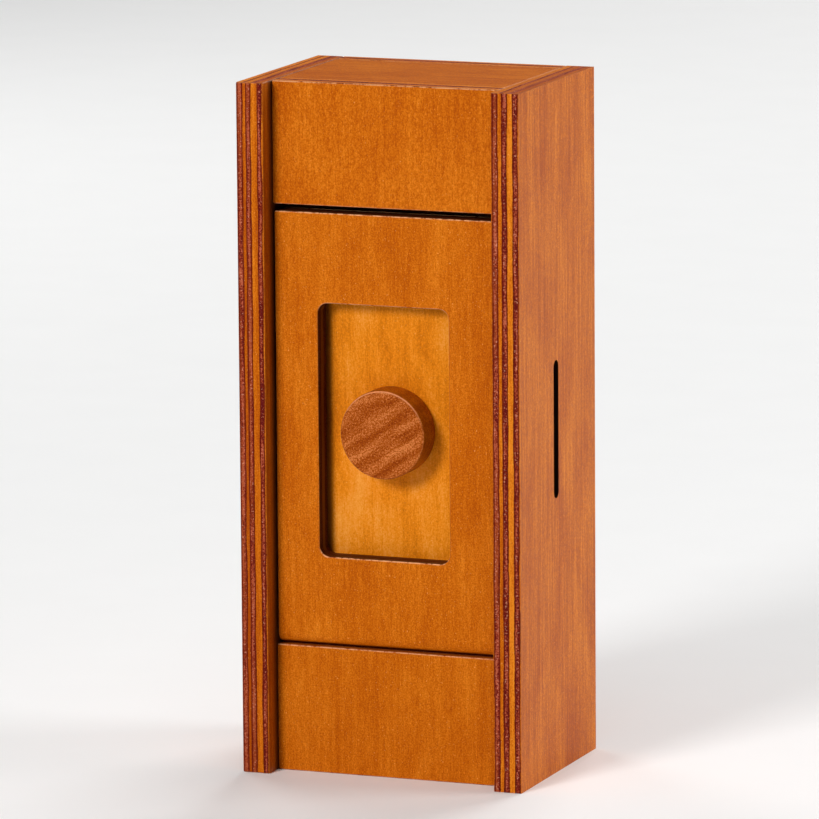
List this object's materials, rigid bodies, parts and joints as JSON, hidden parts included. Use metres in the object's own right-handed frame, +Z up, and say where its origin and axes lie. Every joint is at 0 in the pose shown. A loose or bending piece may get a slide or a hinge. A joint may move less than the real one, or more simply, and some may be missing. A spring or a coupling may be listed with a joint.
{
  "type": "wooden puzzle box",
  "caption": "Upright plywood puzzle box with a coin slot, a drop-front windowed lid, and a sliding panel whose round knob runs in a hidden slotted gate.",
  "frame": {"origin": "centre of the base, on the surface the box stands on", "axes": "+Z up, -Y out of the lid's face, +X to the right seen from the front (towards the coin slot)"},
  "size_m": [0.064, 0.047, 0.15],
  "materials": {
    "stained_plywood": "satin",
    "pale_panel": "satin",
    "knob_wood": "satin",
    "raw_plywood": "matte",
    "steel": "satin",
    "brass_screws": "satin"
  },
  "bodies": {
    "carcass": {"left_side_wall": "stained_plywood", "right_side_wall": "stained_plywood", "top_end_board": "stained_plywood", "bottom_end_board": "stained_plywood", "back_panel": "stained_plywood", "upper_front_board": "stained_plywood", "lower_front_board": "stained_plywood", "gate_plate": "raw_plywood", "gate_rail_lower": "raw_plywood", "gate_rail_upper": "raw_plywood", "gate_screw_1": "brass_screws", "gate_screw_2": "brass_screws", "gate_screw_3": "brass_screws", "gate_screw_4": "brass_screws", "hinge_pin_left": "steel", "hinge_pin_right": "steel", "lid_stop_left": "raw_plywood", "lid_stop_right": "raw_plywood"},
    "lid": {"lid_front_plate": "stained_plywood", "lid_rail_left": "raw_plywood", "lid_rail_right": "raw_plywood", "lid_rail_lower": "raw_plywood", "lid_rail_upper": "raw_plywood", "lid_back_board_left": "raw_plywood", "lid_back_board_right": "raw_plywood", "lid_back_board_lower": "raw_plywood", "lid_back_board_upper": "raw_plywood", "lid_screw_1": "brass_screws", "lid_screw_2": "brass_screws", "lid_screw_3": "brass_screws", "lid_screw_4": "brass_screws"},
    "panel": {"slider_panel": "pale_panel"},
    "spacer": {"spacer_block": "raw_plywood"},
    "knob": {"knob": "knob_wood", "knob_screw": "steel", "retaining_washer": "steel"}
  },
  "joints": [
    {"name": "lid_hinge", "type": "hinge", "parent": "carcass", "child": "lid", "pos_m": [-0.0005, -0.016, 0.0305], "axis": [1, 0, 0], "range_deg": [0, 95]},
    {"name": "panel_slide", "type": "slide", "parent": "lid", "child": "panel", "axis": [0, 0, 1], "range_m": [-0.008, 0.008]},
    {"name": "knob_slide", "type": "slide", "parent": "panel", "child": "spacer", "axis": [1, 0, 0], "range_m": [-0.0035, 0.0035]},
    {"name": "knob_turn", "type": "hinge", "parent": "spacer", "child": "knob", "pos_m": [-0.0005, -0.0132, 0.075], "axis": [0, -1, 0], "continuous": true}
  ]
}
